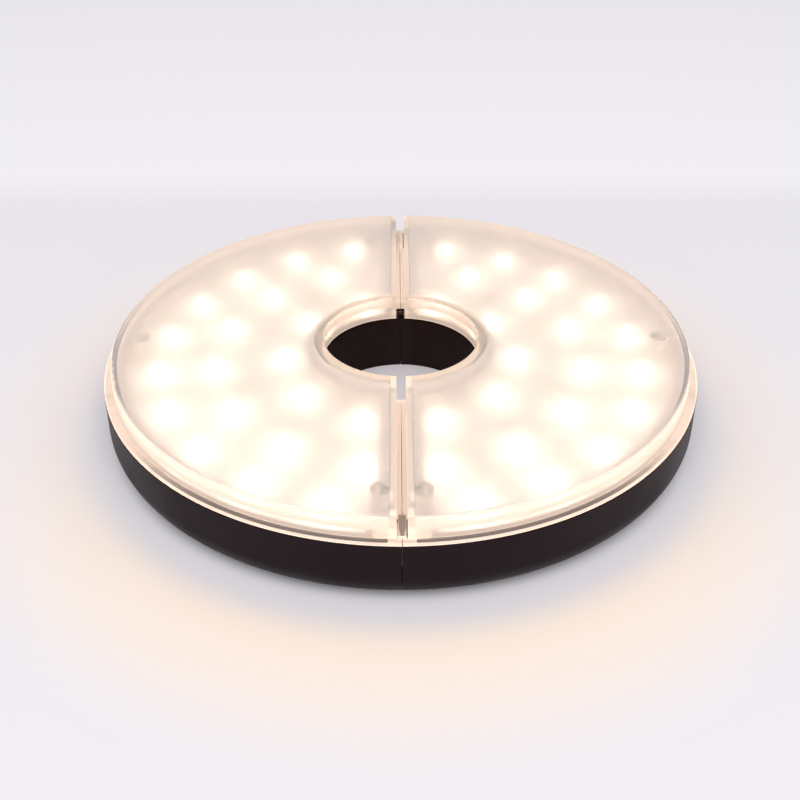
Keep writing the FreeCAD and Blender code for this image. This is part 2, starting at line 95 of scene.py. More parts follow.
# %% Work with values
def calculate(tree, operation, first, second=0.0, third=0.0):
    """A Math node; each of its inputs is a socket or a number."""
    node = tree.nodes.new("ShaderNodeMath")
    node.operation = operation
    for socket, value in zip(node.inputs, (first, second, third)):
        if isinstance(value, (int, float)):
            socket.default_value = value
        else:
            tree.links.new(value, socket)
    return node.outputs["Value"]


def line_length(tree, across, along):
    """The length of a line from its two parts, such as how far x, y is from the pole's axis."""
    squares = calculate(tree, "ADD", calculate(tree, "MULTIPLY", across, across),
                        calculate(tree, "MULTIPLY", along, along))
    return calculate(tree, "SQRT", squares)


def ramp(tree, value, from_low, from_high, to_low=0.0, to_high=1.0, smooth=True):
    """A value carried from one range to another, and held at its ends."""
    node = tree.nodes.new("ShaderNodeMapRange")
    node.interpolation_type = "SMOOTHSTEP" if smooth else "LINEAR"
    node.inputs["From Min"].default_value = from_low
    node.inputs["From Max"].default_value = from_high
    node.inputs["To Min"].default_value = to_low
    node.inputs["To Max"].default_value = to_high
    tree.links.new(value, node.inputs["Value"])
    return node.outputs["Result"]


def blend_colours(tree, factor, first, second):
    """A mix of two colours by a 0 to 1 value; each colour is a socket or three numbers."""
    node = tree.nodes.new("ShaderNodeMix")
    node.data_type = "RGBA"
    for name, colour in (("A", first), ("B", second)):
        if isinstance(colour, tuple):
            node.inputs[name].default_value = (*colour, 1)
        else:
            tree.links.new(colour, node.inputs[name])
    tree.links.new(factor, node.inputs["Factor"])
    return node.outputs["Result"]


def grain(tree, shader, value, depth, strength):
    """Bump from a pattern; depth is the height of its grains in metres."""
    bump = tree.nodes.new("ShaderNodeBump")
    bump.inputs["Distance"].default_value = depth
    bump.inputs["Strength"].default_value = strength
    tree.links.new(value, bump.inputs["Height"])
    tree.links.new(bump.outputs["Normal"], shader.inputs["Normal"])


def paint(material, *names):
    """Give a finish to CAD pieces, by name."""
    for name in names:
        mesh = nodes[name].data
        mesh.materials.clear()
        mesh.materials.append(material)
    print(material.name, "on", len(names), "pieces")


# %% [markdown]
# ## The moulded housing
# The shell, the battery doors and the button are dark plastic with a fine spark-eroded grain,
# which breaks their highlights up. One noise shifts the colour and the roughness a little over
# the whole part, and a fine one is the grain itself, as bump. Near the pole the plastic is
# painted a little lighter and warmer: painted light that the diffusers throw on the collar.

# %% Housing, doors and button
# painted light: the colour near the pole stands in for the diffusers' light on the collar
collar_glow_colour = (0.0145, 0.0065, 0.0058)
collar_glow_end = 0.028           # from the pole's axis to where the collar's colour starts to fade
collar_glow_gone = 0.034         # and to where it is gone
spark_grain = 0.00006        # height of the grain in metres


def moulded_finish(name, dark, light, rough_low, rough_high):
    """Grained plastic between two colours and two roughnesses."""
    material, tree, shader = new_finish(name)
    cloud = noise(tree, 45, 2)
    x, y, _ = place_axes(tree)
    # painted light: near the pole the colour is blended towards the glow on the collar
    near_pole = ramp(tree, line_length(tree, x, y), collar_glow_end, collar_glow_gone, 1.0, 0.0)
    colour = blend_colours(tree, cloud, dark, light)
    tree.links.new(blend_colours(tree, near_pole, colour, collar_glow_colour),
                   shader.inputs["Base Color"])
    tree.links.new(ramp(tree, cloud, 0.3, 0.7, rough_low, rough_high), shader.inputs["Roughness"])
    shader.inputs["Specular IOR Level"].default_value = 0.13
    grain(tree, shader, noise(tree, 2600, 2), spark_grain, 0.35)
    return material


housing_finish = moulded_finish("moulded_housing", (0.0078, 0.0026, 0.0050),
                                (0.0100, 0.0036, 0.0064), 0.42, 0.52)
door_finish = moulded_finish("moulded_door", (0.0120, 0.0044, 0.0068),
                             (0.0150, 0.0058, 0.0086), 0.44, 0.54)
button_finish = moulded_finish("button_face", (0.035, 0.032, 0.033),
                               (0.045, 0.041, 0.042), 0.35, 0.45)
paint(housing_finish, *["housing_" + side for side in both])
paint(door_finish, *["battery_door_" + side for side in both])
paint(button_finish, "power_button")

# %% [markdown]
# ## Where the LEDs are
# The finish of the boards and the windows of the LEDs both need the places of the LEDs. They
# are measured from the CAD pieces, so they can't drift from them. A CAD mesh is made of loose
# triangles, so a merged copy is walked along its edges, one solid at a time.

# %% Measure the solids in a piece
def loose_parts(node_name):
    """The lowest and highest corner of each separate solid in a CAD piece."""
    mesh = bmesh.new()
    mesh.from_mesh(nodes[node_name].data)
    bmesh.ops.remove_doubles(mesh, verts=mesh.verts, dist=1e-6)
    waiting = set(mesh.verts)
    parts = []
    while waiting:
        front = [waiting.pop()]
        found = list(front)
        while front:
            vertex = front.pop()
            for edge in vertex.link_edges:
                other = edge.other_vert(vertex)
                if other in waiting:
                    waiting.remove(other)
                    front.append(other)
                    found.append(other)
        low = Vector([min(v.co[axis] for v in found) for axis in range(3)])
        high = Vector([max(v.co[axis] for v in found) for axis in range(3)])
        parts.append((low, high))
    mesh.free()
    return sorted(parts, key=lambda part: tuple(part[0]))


led_parts = {side: loose_parts("leds_" + side) for side in both}
led_top = led_parts["right"][0][1].z
print("LEDs on each side:", [len(led_parts[side]) for side in both])
print("tops of the LEDs in mm:", round(1000 * led_top, 2))

# %% Sort the LEDs into rings
led_rings = {}
for low, high in led_parts["right"]:
    middle = (low + high) / 2
    radius = round(middle.xy.length, 4)
    angle = math.atan2(middle.y, middle.x)
    led_rings.setdefault(radius, []).append(angle)
for radius, angles in led_rings.items():
    angles.sort()
    spacing = (angles[-1] - angles[0]) / (len(angles) - 1)
    print("ring of", len(angles), "at", round(1000 * radius, 1), "mm, every",
          round(math.degrees(spacing), 1), "degrees from", round(math.degrees(angles[0]), 1))

# %% [markdown]
# ## The LED boards
# A white solder mask reflects the light up through the diffuser. Round each LED the board is
# bright, and it fades between them and towards its edge. Real light through frosted plastic
# needs a long render, so that fall of light is painted as emission: a narrow pool and a wide
# one round each LED, a little stronger in front, as in the photograph. For each ring the angle
# of a point is wrapped into one spacing, which gives its distance from the nearest LED of that
# ring without a node for every LED.

# %% Light pools round the LEDs
def led_distance(tree, radius_here, angle_here, ring_radius, angles):
    """Distance in metres from a point to the nearest LED of one ring."""
    spacing = (angles[-1] - angles[0]) / (len(angles) - 1)
    past_first = calculate(tree, "SUBTRACT", angle_here, angles[0])
    turn = calculate(tree, "WRAP", past_first, spacing / 2, -spacing / 2)
    along = calculate(tree, "MULTIPLY", turn, ring_radius)
    out = calculate(tree, "SUBTRACT", radius_here, ring_radius)
    return line_length(tree, along, out)


def led_pools(tree, reach):
    """Soft pools of light round all the LEDs, 1 at an LED and falling off over a reach."""
    x, y, _ = place_axes(tree)
    radius_here = line_length(tree, x, y)
    angle_here = calculate(tree, "ARCTAN2", y, calculate(tree, "ABSOLUTE", x))
    total = None
    for ring_radius, angles in led_rings.items():
        distance = led_distance(tree, radius_here, angle_here, ring_radius, angles)
        share = calculate(tree, "DIVIDE", distance, reach)
        fall = calculate(tree, "MULTIPLY", calculate(tree, "MULTIPLY", share, share), -1.0)
        pool = calculate(tree, "EXPONENT", fall)
        total = pool if total is None else calculate(tree, "ADD", total, pool)
    return total


# %% Board finish
narrow_reach = 0.0058
narrow_strength = 2.0
wide_reach = 0.0118
wide_strength = 0.88
front_strength = 1.1
rear_strength = 0.90
pool_colour = (1.0, 0.91, 0.79)

material, tree, shader = new_finish("white_board")
copper = noise(tree, 160, 4)
tree.links.new(blend_colours(tree, copper, (0.60, 0.585, 0.56), (0.66, 0.645, 0.62)),
               shader.inputs["Base Color"])
shader.inputs["Roughness"].default_value = 0.55
near = calculate(tree, "MULTIPLY", led_pools(tree, narrow_reach), narrow_strength)
wide = calculate(tree, "MULTIPLY", led_pools(tree, wide_reach), wide_strength)
y = place_axes(tree)[1]
toward_rear = ramp(tree, y, -0.06, 0.07, front_strength, rear_strength)
shine = calculate(tree, "MULTIPLY", calculate(tree, "ADD", near, wide), toward_rear)
tree.links.new(shine, shader.inputs["Emission Strength"])
shader.inputs["Emission Color"].default_value = (*pool_colour, 1)
grain(tree, shader, copper, 0.00003, 0.2)
paint(material, *["led_board_" + side for side in both])

material, tree, shader = new_finish("control_board")
copper = noise(tree, 220, 4)
tree.links.new(blend_colours(tree, copper, (0.80, 0.79, 0.76), (0.88, 0.87, 0.84)),
               shader.inputs["Base Color"])
shader.inputs["Roughness"].default_value = 0.5
paint(material, "control_board")

# %% [markdown]
# ## The LEDs
# The CAD has the square packages. Each holds a round window of yellow phosphor, which is what
# shines. The windows repeat 44 times, so Geometry Nodes makes them: one low disc on every
# measured place. The light comes from their emission.

# %% LED finishes
package_colour = (1.0, 0.83, 0.62)
package_strength = 0.5
window_colour = (1.0, 0.88, 0.70)
window_strength = 22.0

material, tree, shader = new_finish("led_package")
tree.links.new(blend_colours(tree, noise(tree, 900), (0.80, 0.77, 0.68), (0.88, 0.85, 0.77)),
               shader.inputs["Base Color"])
shader.inputs["Roughness"].default_value = 0.4
shader.inputs["Emission Color"].default_value = (*package_colour, 1)
shader.inputs["Emission Strength"].default_value = package_strength
paint(material, *["leds_" + side for side in both])

material, tree, shader = new_finish("led_window")
tree.links.new(blend_colours(tree, noise(tree, 3000), (0.95, 0.75, 0.30), (1.0, 0.82, 0.38)),
               shader.inputs["Base Color"])
shader.inputs["Roughness"].default_value = 0.3
shader.inputs["Emission Color"].default_value = (*window_colour, 1)
shader.inputs["Emission Strength"].default_value = window_strength
window_finish = material

# %% Helpers for Geometry Nodes
def new_tree(name, sizes):
    """A Geometry Nodes tree with a geometry input, named sizes in metres, and an output."""
    tree = bpy.data.node_groups.new(name, "GeometryNodeTree")
    tree.interface.new_socket("Geometry", in_out="INPUT", socket_type="NodeSocketGeometry")
    for size_name, value in sizes.items():
        socket = tree.interface.new_socket(size_name, in_out="INPUT", socket_type="NodeSocketFloat")
        socket.default_value = value
    tree.interface.new_socket("Geometry", in_out="OUTPUT", socket_type="NodeSocketGeometry")
    return tree, tree.nodes.new("NodeGroupInput"), tree.nodes.new("NodeGroupOutput")


def close_tree(tree, end, instances, finish):
    """The end of every tree here: the instances made real, with their finish."""
    real = tree.nodes.new("GeometryNodeRealizeInstances")
    coat = tree.nodes.new("GeometryNodeSetMaterial")
    coat.inputs["Material"].default_value = finish
    tree.links.new(instances, real.inputs["Geometry"])
    tree.links.new(real.outputs["Geometry"], coat.inputs["Geometry"])
    tree.links.new(coat.outputs["Geometry"], end.inputs["Geometry"])


def points_object(name, places):
    """A mesh of loose vertices, which a tree can put things on."""
    mesh = bpy.data.meshes.new(name)
    mesh.from_pydata([tuple(place) for place in places], [], [])
    piece = bpy.data.objects.new(name, mesh)
    bpy.context.scene.collection.objects.link(piece)
    return piece


def grow(piece, tree, sizes):
    """Run a tree on a piece with these sizes, and turn the result into a plain mesh."""
    modifier = piece.modifiers.new(tree.name, "NODES")
    modifier.node_group = tree
    for item in tree.interface.items_tree:
        if item.in_out == "INPUT" and item.name in sizes:
            modifier[item.identifier] = sizes[item.name]
    bpy.context.view_layer.update()
    evaluated = piece.evaluated_get(bpy.context.evaluated_depsgraph_get())
    mesh = bpy.data.meshes.new_from_object(evaluated)
    piece.modifiers.clear()
    piece.data = mesh
    print(piece.name, "has", len(mesh.polygons), "faces")
    return piece


# %% The windows of the LEDs
window_radius = 0.0021
window_height = 0.0003
window_sizes = {"Radius": window_radius, "Height": window_height}
window_tree, start, end = new_tree("led_windows", window_sizes)
disc = window_tree.nodes.new("GeometryNodeMeshCylinder")
disc.inputs["Vertices"].default_value = 24
put = window_tree.nodes.new("GeometryNodeInstanceOnPoints")
window_tree.links.new(start.outputs["Radius"], disc.inputs["Radius"])
window_tree.links.new(start.outputs["Height"], disc.inputs["Depth"])
window_tree.links.new(start.outputs["Geometry"], put.inputs["Points"])
window_tree.links.new(disc.outputs["Mesh"], put.inputs["Instance"])
close_tree(window_tree, end, put.outputs["Instances"], window_finish)

for side in both:
    tops = []
    for low, high in led_parts[side]:
        middle = (low + high) / 2
        tops.append((middle.x, middle.y, high.z + window_height / 2))
    windows = points_object("led_windows_" + side, tops)
    grow(windows, window_tree, window_sizes)
    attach(windows, side + "_half")

# %% [markdown]
# ## The frosted diffusers
# Each diffuser is a clear plastic pan, rough on the inside and smoother on the outside, which
# softens each LED to a spot. The finish has a rough transmission for the spots and a pale body
# for the haze. Clear plastic also pipes light along its walls, so the walls of the slot, the
# ring round the hole and the outer wall get a weak warm emission, and the rest a very faint
# one. In front the photograph shows a bright line at the edge of the lip and a dull dark band
# behind it, where the dark housing shows through the clear wall. The line is painted light and
# the band is painted shade; both are found by place, and they are painted in front only.

# %% Diffuser finish
clear_share = 0.66
outside_roughness = 0.22
inside_roughness = 0.42
rough_below = 0.0020         # from the top face down to where the roughness is the inside's
smooth_above = 0.0004        # and down to where it is the outside's
frost_grain = 0.00004        # height of the grain in metres

housing_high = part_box("housing_right")[1]
top_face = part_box("diffuser_right")[1][2]
rim_height = housing_high[2]

material, tree, shader = new_finish("frosted_diffuser")
x, y, z = place_axes(tree)
radius_here = line_length(tree, x, y)
tree.links.new(ramp(tree, z, top_face - rough_below, top_face - smooth_above, inside_roughness,
                    outside_roughness), shader.inputs["Roughness"])
shader.inputs["IOR"].default_value = 1.49
shader.inputs["Transmission Weight"].default_value = clear_share
grain(tree, shader, noise(tree, 1800, 2), frost_grain, 0.12)
print("top face at", round(1000 * top_face, 2), "mm, rim at", round(1000 * rim_height, 2), "mm")

# %% Where its walls are
slot_wall = 0.0034           # from the seam plane to the inside of the slot's walls
ring_wall = 0.0280           # from the pole's axis to the outside of the ring round the hole
outer_wall = 0.0920          # from the pole's axis to just inside the outer face
lip_top = rim_height + 0.0008
lip_edge = 0.0944            # from the pole's axis to the bright edge of the lip
# painted shade: these two place the dark band above the lip, where the housing shows through
shade_band_starts = 0.0022       # from that edge in to where the groove begins
shade_band_full = 0.0014         # and to where it is at its darkest
front_full = -0.080          # the line and the groove are whole from here to the front
front_faded = -0.045         # and gone from here to the rear
bridge = 0.0039              # half the width of the solid piece at the front of the slot
slot_blur = 0.0004           # each finish fades into the next over a few tenths of a millimetre
ring_blur = 0.0006
outer_blur = 0.0008
line_blur = 0.0003
bridge_blur = 0.0002

aside = calculate(tree, "ABSOLUTE", x)
beside_slot = ramp(tree, aside, slot_wall - slot_blur, slot_wall, 1.0, 0.0)
round_hole = ramp(tree, radius_here, ring_wall - ring_blur, ring_wall, 1.0, 0.0)
at_rim = calculate(tree, "MULTIPLY",
                   ramp(tree, radius_here, outer_wall - outer_blur, outer_wall),
                   ramp(tree, z, top_face - 0.0004, top_face - 0.0001, 1.0, 0.0))
on_lip = calculate(tree, "MULTIPLY", calculate(tree, "GREATER_THAN", radius_here, outer_wall),
                   calculate(tree, "LESS_THAN", z, lip_top))
in_front = ramp(tree, y, front_full, front_faded, 1.0, 0.0)
# painted light: a bright line at the edge of the lip, in front only
line_here = ramp(tree, radius_here, lip_edge - line_blur, lip_edge)
lip_line = calculate(tree, "MULTIPLY", calculate(tree, "MULTIPLY", on_lip, in_front), line_here)
# painted shade: a dark band above the lip in front, cut off at the bridge
shade_band = calculate(tree, "MULTIPLY", calculate(tree, "MULTIPLY", on_lip, in_front),
                   ramp(tree, radius_here, lip_edge - shade_band_starts, lip_edge - shade_band_full))
shade_band = calculate(tree, "MULTIPLY", calculate(tree, "SUBTRACT", shade_band, line_here),
                   ramp(tree, aside, bridge - bridge_blur, bridge))
shade_band = calculate(tree, "MAXIMUM", shade_band, 0.0)

# %% The walls pipe light
haze_glow = 0.050
slot_glow = 0.30             # in front
slot_rear_glow = 0.08
ring_glow = 0.26
ring_top_glow = 0.14
wall_glow = 0.34
line_glow = 0.20
glow_colour = (1.0, 0.72, 0.53)

on_top = ramp(tree, z, top_face - 0.0005, top_face - 0.0002)
slot_light = calculate(tree, "MULTIPLY", beside_slot,
                       ramp(tree, y, 0.06, 0.09, slot_glow, slot_rear_glow))
rim_light = calculate(tree, "MULTIPLY", at_rim, wall_glow)
ring_light = calculate(tree, "MULTIPLY", round_hole,
                       ramp(tree, on_top, 0.0, 1.0, ring_glow, ring_top_glow))
glow = calculate(tree, "MAXIMUM", calculate(tree, "MAXIMUM", slot_light, ring_light), rim_light)
glow = calculate(tree, "ADD", glow, haze_glow)
# the painted shade of the band dims the glow there
glow = calculate(tree, "MULTIPLY", glow, calculate(tree, "SUBTRACT", 1.0, shade_band))
glow = calculate(tree, "MULTIPLY_ADD", lip_line, line_glow, glow)
tree.links.new(glow, shader.inputs["Emission Strength"])
shader.inputs["Emission Color"].default_value = (*glow_colour, 1)
print("glow of the slot's walls, the ring and the outer wall:", slot_glow, ring_glow, wall_glow)

# %% Its colour
ring_top_colour = (0.92, 0.81, 0.68)
# painted shade: the colour of the dark band above the lip
shade_band_colour = (0.50, 0.43, 0.40)

plain = blend_colours(tree, noise(tree, 60, 2), (0.92, 0.86, 0.81), (0.96, 0.90, 0.85))
ring_top = calculate(tree, "MULTIPLY", round_hole, on_top)
with_ring = blend_colours(tree, ring_top, plain, ring_top_colour)
tree.links.new(blend_colours(tree, shade_band, with_ring, shade_band_colour), shader.inputs["Base Color"])
paint(material, *["diffuser_" + side for side in both])

# %% [markdown]
# ## Rubber, steel and nickel
# The pole pads are soft black rubber. The hinge pin is plated steel, the dowel is blackened, and
# the screws are zinc plated. The battery contacts are nickel, and the switch is black plastic.

# %% Small finishes
def small_finish(name, first, second, scale, roughness, metal=0.0):
    """A finish for a small piece: two colours and a fine grain, both from one noise."""
    material, tree, shader = new_finish(name)
    value = noise(tree, scale, 4)
    tree.links.new(blend_colours(tree, value, first, second), shader.inputs["Base Color"])
    tree.links.new(ramp(tree, value, 0.3, 0.7, roughness - 0.05, roughness + 0.05),
                   shader.inputs["Roughness"])
    shader.inputs["Metallic"].default_value = metal
    grain(tree, shader, value, 0.00002, 0.3)
    return material


rubber_finish = small_finish("pad_rubber", (0.0130, 0.0056, 0.0050), (0.0160, 0.0074, 0.0066),
                             700, 0.62)
rubber_finish.node_tree.nodes["Principled BSDF"].inputs["Specular IOR Level"].default_value = 0.12
steel_finish = small_finish("plated_steel", (0.30, 0.29, 0.28), (0.38, 0.37, 0.36), 1500, 0.34, 1.0)
black_finish = small_finish("blackened_steel", (0.030, 0.027, 0.026), (0.040, 0.036, 0.035),
                            1200, 0.45, 1.0)
nickel_finish = small_finish("nickel", (0.62, 0.59, 0.54), (0.70, 0.67, 0.62), 900, 0.28, 1.0)
switch_finish = small_finish("switch_body", (0.012, 0.012, 0.013), (0.02, 0.02, 0.021), 800, 0.5)
zinc_finish = small_finish("zinc_plate", (0.50, 0.50, 0.51), (0.60, 0.60, 0.61), 1300, 0.30, 1.0)
paint(rubber_finish, *["pole_pad_" + side for side in both])
paint(steel_finish, "hinge_pin")
paint(black_finish, "dowel")
paint(switch_finish, "power_switch")

# %% [markdown]
# ## The catch
# The catch is cream nylon with a grey grip on top. It stands between the walls of the slot, so
# light from them reaches it above the rim, and it glows faintly there. Below the rim the seam
# of the housing would let that glow show, so it stops at the rim.

# %% Catch finish
grip_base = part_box("catch")[1][2] - 0.0008
cream = (0.86, 0.76, 0.66)
grip_grey = (0.27, 0.23, 0.20)
catch_glow = 0.40

material, tree, shader = new_finish("catch_nylon")
z = place_axes(tree)[2]
on_grip = ramp(tree, z, grip_base - 0.0001, grip_base + 0.0001)
tree.links.new(blend_colours(tree, on_grip, cream, grip_grey), shader.inputs["Base Color"])
tree.links.new(ramp(tree, noise(tree, 500), 0.3, 0.7, 0.42, 0.52), shader.inputs["Roughness"])
above_rim = ramp(tree, z, rim_height + 0.0002, rim_height + 0.0006)
lit = calculate(tree, "MULTIPLY", above_rim, ramp(tree, on_grip, 0.0, 1.0, catch_glow, 0.0))
tree.links.new(lit, shader.inputs["Emission Strength"])
shader.inputs["Emission Color"].default_value = (1.0, 0.80, 0.66, 1)
paint(material, "catch")

# %% [markdown]
# ## The cells
# An AAA cell is a steel can in a plain plastic wrap, which leaves the flat end and the small
# nub bare. Both places are found from Object coordinates: the nub by its distance from the
# cell's axis, and the ends by how far out they lie along the cell.

# %% Cell finishes
wrap_grey = (0.050, 0.055, 0.062)
bare_steel = (0.62, 0.60, 0.57)


def cell_finish(name, node_name):
    """Grey wrap with bare metal at the nub and at the rim of the flat end."""
    low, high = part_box(node_name)
    axis_x = (low[0] + high[0]) / 2
    axis_z = (low[2] + high[2]) / 2
    cell_radius = (high[0] - low[0]) / 2
    material, tree, shader = new_finish(name)
    x, y, z = place_axes(tree)
    aside = calculate(tree, "SUBTRACT", x, axis_x)
    above = calculate(tree, "SUBTRACT", z, axis_z)
    outward = line_length(tree, aside, above)
    along = calculate(tree, "ABSOLUTE", y)
    at_end = calculate(tree, "GREATER_THAN", along, high[1] - 0.0012)
    at_tip = calculate(tree, "GREATER_THAN", along, high[1] - 0.0003)
    in_middle = calculate(tree, "LESS_THAN", outward, 0.45 * cell_radius)
    bare = calculate(tree, "MAXIMUM", at_tip, calculate(tree, "MULTIPLY", at_end, in_middle))
    tree.links.new(blend_colours(tree, bare, wrap_grey, bare_steel), shader.inputs["Base Color"])
    tree.links.new(bare, shader.inputs["Metallic"])
    scuffs = ramp(tree, noise(tree, 400, 4), 0.3, 0.7, 0.26, 0.36)
    tree.links.new(scuffs, shader.inputs["Roughness"])
    return material


for place in ("inner", "outer"):
    for side in both:
        piece_name = "cell_" + place + "_" + side
        paint(cell_finish("wrap_" + place + "_" + side, piece_name), piece_name)

# %% [markdown]
# ## The screws
# Pan-head screws with a cross recess hold the housing to the diffusers, and smaller ones hold
# the LED boards. One screw is made as a turned profile with a ridged shank, and its recess is
# cut with a boolean. Geometry Nodes then puts a copy at every place, and turns it head up for
# the boards. The CAD screws are plain, so these stand in for them.

# %% Turn a profile
def mesh_object(name, mesh_data):
    """An object in the scene for a finished bmesh."""
    mesh = bpy.data.meshes.new(name)
    mesh_data.to_mesh(mesh)
    mesh_data.free()
    piece = bpy.data.objects.new(name, mesh)
    bpy.context.scene.collection.objects.link(piece)
    return piece


def turned(profile, steps):
    """A closed shape of revolution about Z, from (radius, height) pairs."""
    shape = bmesh.new()
    line = [shape.verts.new((radius, 0, height)) for radius, height in profile]
    edges = [shape.edges.new(pair) for pair in zip(line, line[1:])]
    bmesh.ops.spin(shape, geom=line + edges, cent=(0, 0, 0), axis=(0, 0, 1),
                   angle=2 * math.pi, steps=steps)
    bmesh.ops.remove_doubles(shape, verts=shape.verts, dist=1e-7)
    bmesh.ops.recalc_face_normals(shape, faces=shape.faces)
    return shape


def screw_profile(head_radius, head_height, shank_radius, length):
    """A pan head that faces down at height 0, and a ridged shank above it."""
    profile = [(0, 0), (0.72 * head_radius, 0), (0.93 * head_radius, 0.22 * head_height),
               (head_radius, 0.6 * head_height), (head_radius, head_height)]
    pitch = 0.0009           # from one ridge of the shank to the next
    root = 0.78 * shank_radius
    height = head_height
    profile.append((root, height))
    while height + 2 * pitch < head_height + length:
        profile.append((root, height + 0.15 * pitch))
        profile.append((shank_radius, height + 0.5 * pitch))
        height += pitch
        profile.append((root, height))
    profile.append((0, head_height + length))
    return profile


# %% Cut the cross recess
def cross_cutter(width, reach, depth):
    """A plus-shaped block that narrows as it goes up into the head."""
    shape = bmesh.new()
    half = width / 2
    outline = [(half, half), (half, reach), (-half, reach), (-half, half), (-reach, half),
               (-reach, -half), (-half, -half), (-half, -reach), (half, -reach), (half, -half),
               (reach, -half), (reach, half)]
    below = [shape.verts.new((x, y, -depth)) for x, y in outline]
    above = [shape.verts.new((0.7 * x, 0.7 * y, depth)) for x, y in outline]
    shape.faces.new(below)
    shape.faces.new(above)
    for index in range(len(outline)):
        following = (index + 1) % len(outline)
        shape.faces.new((below[index], below[following], above[following], above[index]))
    bmesh.ops.recalc_face_normals(shape, faces=shape.faces)
    return mesh_object("cross_cutter", shape)


def one_screw(name, head_radius, head_height, shank_radius, length):
    """A screw with its recess cut; it is only a pattern for the copies."""
    screw = mesh_object(name, turned(screw_profile(head_radius, head_height, shank_radius, length),
                                     32))
    cutter = cross_cutter(0.30 * head_radius, 0.62 * head_radius, 0.55 * head_height)
    cut = screw.modifiers.new("recess", "BOOLEAN")
    cut.operation = "DIFFERENCE"
    cut.solver = "EXACT"
    cut.object = cutter
    bpy.context.view_layer.update()
    evaluated = screw.evaluated_get(bpy.context.evaluated_depsgraph_get())
    mesh = bpy.data.meshes.new_from_object(evaluated)
    screw.modifiers.clear()
    screw.data = mesh
    bpy.data.objects.remove(cutter)
    print(name, "has", len(mesh.polygons), "faces")
    return screw


# %% Put the screws in their places
def screws_tree(name, pattern):
    """A tree that puts the pattern on every point, turned about X by an angle."""
    tree, start, end = new_tree(name, {"Turn": 0.0})
    screw = tree.nodes.new("GeometryNodeObjectInfo")
    screw.inputs["Object"].default_value = pattern
    angles = tree.nodes.new("ShaderNodeCombineXYZ")
    put = tree.nodes.new("GeometryNodeInstanceOnPoints")
    tree.links.new(start.outputs["Turn"], angles.inputs["X"])
    tree.links.new(start.outputs["Geometry"], put.inputs["Points"])
    tree.links.new(screw.outputs["Geometry"], put.inputs["Instance"])
    tree.links.new(angles.outputs["Vector"], put.inputs["Rotation"])
    close_tree(tree, end, put.outputs["Instances"], zinc_finish)
    return tree


def fit_screws(kind, head_height, shank_radius, head_up):
    """Replace one kind of CAD screw on both halves."""
    parts = loose_parts(kind + "_right")
    low, high = parts[0]
    head_radius = (high.x - low.x) / 2
    length = high.z - low.z - head_height
    pattern = one_screw(kind + "_pattern", head_radius, head_height, shank_radius, length)
    tree = screws_tree(kind, pattern)
    for side in both:
        places = []
        for low, high in loose_parts(kind + "_" + side):
            middle = (low + high) / 2
            places.append((middle.x, middle.y, high.z if head_up else low.z))
        screws = points_object(kind + "_cross_head_" + side, places)
        grow(screws, tree, {"Turn": math.pi if head_up else 0.0})
        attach(screws, side + "_half")
        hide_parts(kind + "_" + side)
    bpy.data.objects.remove(pattern)


fit_screws("housing_screws", head_height=0.0018, shank_radius=0.0015, head_up=False)
fit_screws("board_screws", head_height=0.0013, shank_radius=0.0012, head_up=True)

# %% [markdown]
# ## The battery contacts
# At the flat end of each cell a nickel-plated coil spring presses on it, and at the other end
# a plate with a raised button meets the nub. The coils follow a rule, so a tree makes them from
# a spiral curve and a round wire. Each point says by an attribute which way its coil faces.

# %% Coil springs
wire_radius = 0.0002
spring_sizes = {"Wide": 0.0024, "Narrow": 0.0016, "Length": 0.002, "Wire": wire_radius}
spring_tree, start, end = new_tree("coil_springs", spring_sizes)
spiral = spring_tree.nodes.new("GeometryNodeCurveSpiral")
spiral.inputs["Resolution"].default_value = 20
spiral.inputs["Rotations"].default_value = 3.5
wire = spring_tree.nodes.new("GeometryNodeCurvePrimitiveCircle")
wire.inputs["Resolution"].default_value = 8
sweep = spring_tree.nodes.new("GeometryNodeCurveToMesh")
sweep.inputs["Fill Caps"].default_value = True
facing = spring_tree.nodes.new("GeometryNodeInputNamedAttribute")
facing.data_type = "FLOAT"
facing.inputs["Name"].default_value = "facing"
angles = spring_tree.nodes.new("ShaderNodeCombineXYZ")
put = spring_tree.nodes.new("GeometryNodeInstanceOnPoints")
links = spring_tree.links
links.new(start.outputs["Wide"], spiral.inputs["Start Radius"])
links.new(start.outputs["Narrow"], spiral.inputs["End Radius"])
links.new(start.outputs["Length"], spiral.inputs["Height"])
links.new(start.outputs["Wire"], wire.inputs["Radius"])
links.new(spiral.outputs["Curve"], sweep.inputs["Curve"])
links.new(wire.outputs["Curve"], sweep.inputs["Profile Curve"])
links.new(facing.outputs["Attribute"], angles.inputs["X"])
links.new(start.outputs["Geometry"], put.inputs["Points"])
links.new(sweep.outputs["Mesh"], put.inputs["Instance"])
links.new(angles.outputs["Vector"], put.inputs["Rotation"])
close_tree(spring_tree, end, put.outputs["Instances"], nickel_finish)

# %% Contact plates
def add_plate(shape, x_low, x_high, y_low, y_high, z_low, z_high):
    """A thin upright plate with rounded corners, added to a mesh."""
    radius = 0.0012          # of the corners
    outline = []
    corners = ((x_high, z_high, 0), (x_low, z_high, 90), (x_low, z_low, 180), (x_high, z_low, 270))
    for corner_x, corner_z, first_angle in corners:
        inward_x = -radius if corner_x == x_high else radius
        inward_z = -radius if corner_z == z_high else radius
        for step in range(5):
            angle = math.radians(first_angle + 22.5 * step)
            outline.append((corner_x + inward_x + radius * math.cos(angle),
                            corner_z + inward_z + radius * math.sin(angle)))
    front = [shape.verts.new((x, y_low, z)) for x, z in outline]
    back = [shape.verts.new((x, y_high, z)) for x, z in outline]
    shape.faces.new(front)
    shape.faces.new(back)
    for index in range(len(outline)):
        following = (index + 1) % len(outline)
        shape.faces.new((front[index], front[following], back[following], back[index]))


